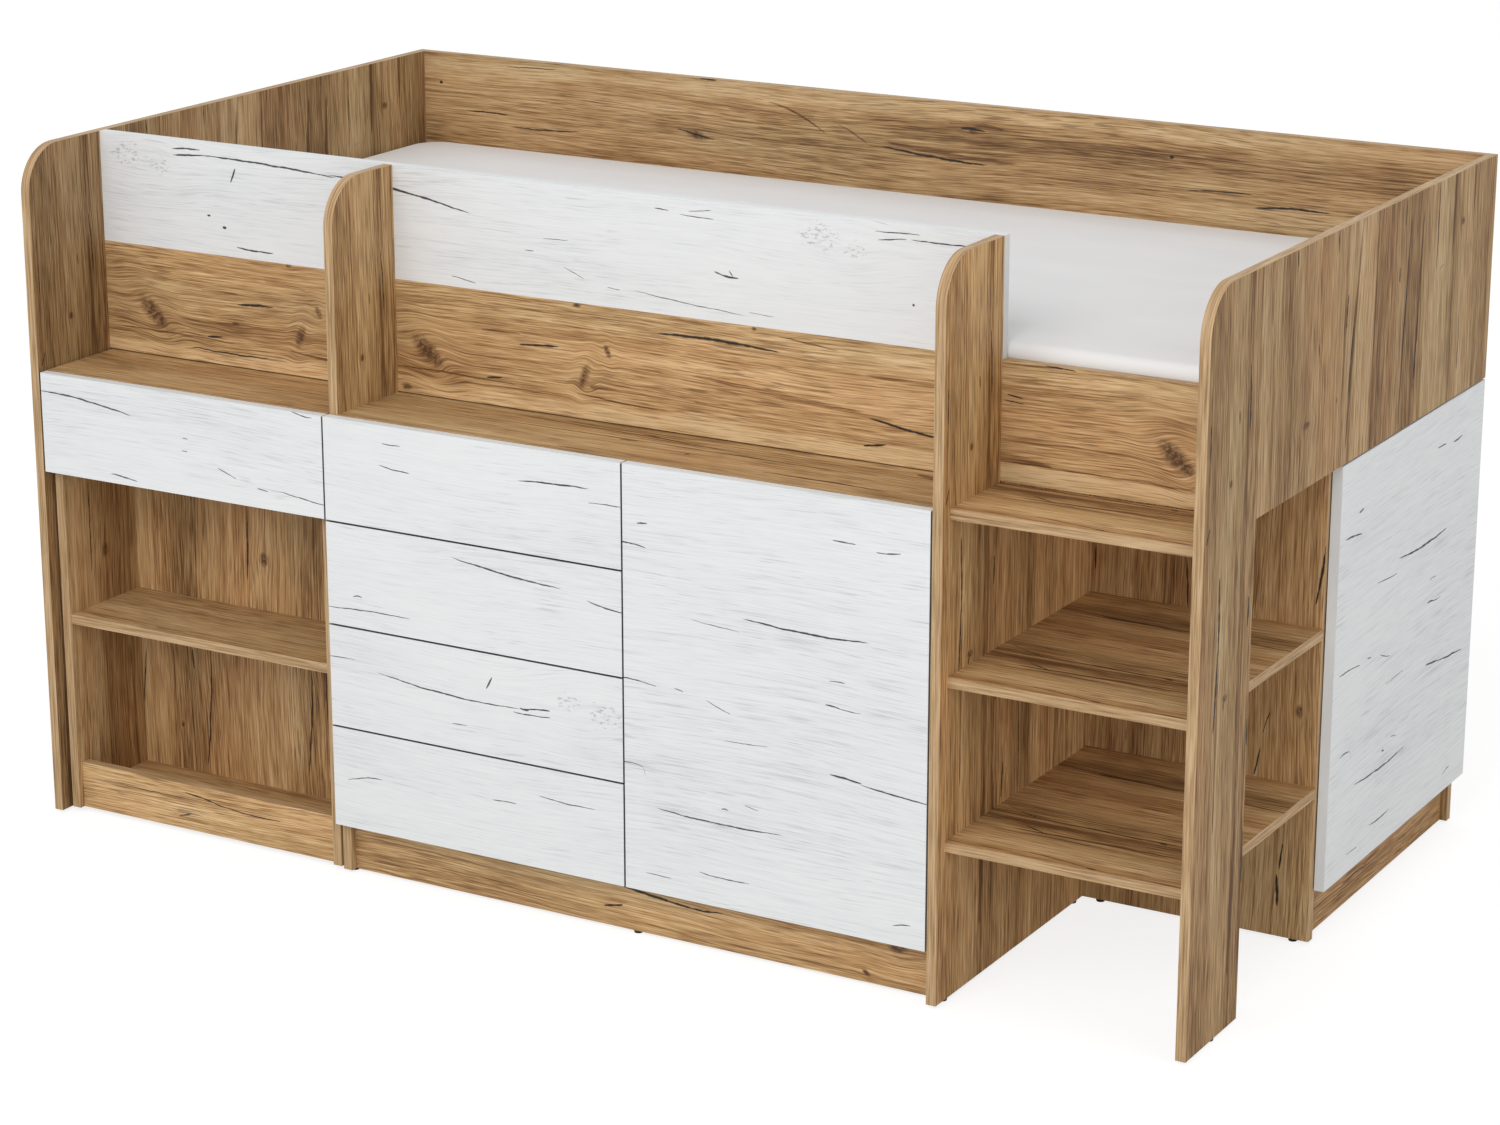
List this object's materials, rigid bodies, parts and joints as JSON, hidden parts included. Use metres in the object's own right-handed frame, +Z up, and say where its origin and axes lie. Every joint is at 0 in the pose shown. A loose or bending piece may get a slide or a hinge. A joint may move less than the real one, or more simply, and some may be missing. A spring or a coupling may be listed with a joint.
{
  "type": "cabin bed",
  "caption": "Raised single bed over a roll-out desk, a chest of drawers with cupboard, a step niche and an end-opening wardrobe.",
  "frame": {"origin": "middle of the footprint, on the floor", "axes": "+X along the bed's length towards the steps, +Y from the drawer fronts towards the wall, +Z up"},
  "size_m": [2.042, 1.117, 1.117],
  "materials": {
    "oak": "satin",
    "white_oak": "satin",
    "box_board": "satin",
    "hardboard": "matte",
    "pine": "matte",
    "ticking": "matte",
    "steel": "satin",
    "black_plastic": "matte",
    "grey_rubber": "matte"
  },
  "bodies": {
    "bed": {"left_end_panel": "oak", "right_end_panel": "oak", "front_divider": "oak", "ladder_divider": "oak", "front_rail": "oak", "guard_board": "white_oak", "back_board": "oak", "slat_ledgers": "pine", "bed_slats": "pine", "mattress": "ticking", "steps": "oak", "shelf_pins": "steel", "chest_top": "oak", "chest_left_side": "oak", "chest_partition": "oak", "chest_bottom": "oak", "chest_plinth": "oak", "chest_back": "hardboard", "cupboard_shelf": "oak", "hinge_arms": "steel", "chest_runners": "steel", "wardrobe_front_side": "oak", "wardrobe_rear_side": "oak", "wardrobe_top": "oak", "wardrobe_bottom": "oak", "wardrobe_back": "hardboard", "wardrobe_plinth": "oak", "wardrobe_shelf": "oak", "floor_feet": "black_plastic"},
    "desk": {"desk_top": "oak", "desk_left_side": "oak", "desk_right_side": "oak", "desk_shelf": "oak", "desk_floor": "oak", "desk_back": "oak", "desk_plinth": "oak", "desk_leg_frame": "oak", "desk_runners": "steel", "castor_brackets": "steel"},
    "desk_drawer": {"desk_drawer_front": "white_oak", "desk_drawer_box": "box_board", "desk_drawer_slides": "steel"},
    "front_castors": {"front_castor_wheels": "grey_rubber"},
    "rear_castors": {"rear_castor_wheels": "grey_rubber"},
    "cupboard_door": {"cupboard_door": "white_oak", "cupboard_hinge_cups": "steel"},
    "wardrobe_door": {"wardrobe_door": "white_oak", "wardrobe_hinge_cups": "steel"},
    "drawer_1": {"drawer_front_1": "white_oak", "drawer_box_1": "box_board", "drawer_slides_1": "steel"},
    "drawer_2": {"drawer_front_2": "white_oak", "drawer_box_2": "box_board", "drawer_slides_2": "steel"},
    "drawer_3": {"drawer_front_3": "white_oak", "drawer_box_3": "box_board", "drawer_slides_3": "steel"},
    "drawer_4": {"drawer_front_4": "white_oak", "drawer_box_4": "box_board", "drawer_slides_4": "steel"}
  },
  "joints": [
    {"name": "desk_roll", "type": "slide", "parent": "bed", "child": "desk", "axis": [0, -1, 0], "range_m": [0, 0.62]},
    {"name": "desk_drawer_slide", "type": "slide", "parent": "desk", "child": "desk_drawer", "axis": [0, -1, 0], "range_m": [0, 0.31]},
    {"name": "front_castor_roll", "type": "hinge", "parent": "desk", "child": "front_castors", "pos_m": [-0.7235, -0.3125, 0.0225], "axis": [1, 0, 0], "continuous": true},
    {"name": "rear_castor_roll", "type": "hinge", "parent": "desk", "child": "rear_castors", "pos_m": [-0.7235, 0.2855, 0.0225], "axis": [1, 0, 0], "continuous": true},
    {"name": "cupboard_door_swing", "type": "hinge", "parent": "bed", "child": "cupboard_door", "pos_m": [0.606, -0.5585, 0.4205], "axis": [0, 0, 1], "range_deg": [0, 95]},
    {"name": "wardrobe_door_swing", "type": "hinge", "parent": "bed", "child": "wardrobe_door", "pos_m": [1.021, 0.5585, 0.4205], "axis": [0, 0, 1], "range_deg": [0, 90]},
    {"name": "drawer_1_slide", "type": "slide", "parent": "bed", "child": "drawer_1", "axis": [0, -1, 0], "range_m": [0, 0.35]},
    {"name": "drawer_2_slide", "type": "slide", "parent": "bed", "child": "drawer_2", "axis": [0, -1, 0], "range_m": [0, 0.35]},
    {"name": "drawer_3_slide", "type": "slide", "parent": "bed", "child": "drawer_3", "axis": [0, -1, 0], "range_m": [0, 0.35]},
    {"name": "drawer_4_slide", "type": "slide", "parent": "bed", "child": "drawer_4", "axis": [0, -1, 0], "range_m": [0, 0.35]}
  ],
  "couplings": [
    {"joint": "front_castor_roll", "follows": "desk_roll", "rad_per_m": 44.444},
    {"joint": "rear_castor_roll", "follows": "desk_roll", "rad_per_m": 44.444}
  ]
}
